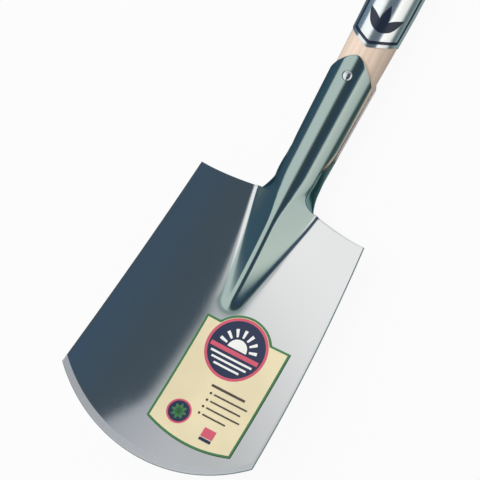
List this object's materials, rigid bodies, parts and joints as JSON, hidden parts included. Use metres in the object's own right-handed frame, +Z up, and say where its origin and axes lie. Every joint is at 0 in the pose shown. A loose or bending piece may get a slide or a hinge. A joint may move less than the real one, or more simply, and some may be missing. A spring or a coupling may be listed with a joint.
{
  "type": "garden spade",
  "caption": "Garden digging spade: dished polished steel blade with a raised socket front, straps up a round wooden shaft and a turned crossbar grip.",
  "frame": {"origin": "on the floor, below the middle of the box round the spade as it lies on its back", "axes": "+Y along the shaft from the blade's tip to the grip, +Z up out of the blade's hollow front, +X to the blade's right as seen from above with the grip away from the viewer"},
  "size_m": [0.182, 1.0928, 0.0742],
  "materials": {
    "polished_steel": "mirror polished stainless sheet",
    "back_strap_steel": "mirror polished stainless sheet",
    "rivet_steel": "polished, with a satin dome",
    "pin_steel": "satin, ground flush",
    "ash_shaft": "straight-grained ash under satin lacquer",
    "ash_grip": "turned ash under satin lacquer",
    "wedge_wood": "sawn hardwood",
    "label_paper": "printed, semi-gloss",
    "band_foil": "silver foil, semi-gloss"
  },
  "bodies": {
    "root": {"blade": "polished_steel", "back_strap": "back_strap_steel", "strap_rivet": "rivet_steel", "shaft": "ash_shaft", "grip": "ash_grip", "grip_pin": "pin_steel", "tenon_wedge": "wedge_wood", "blade_label": "label_paper", "shaft_band": "band_foil"}
  },
  "joints": []
}
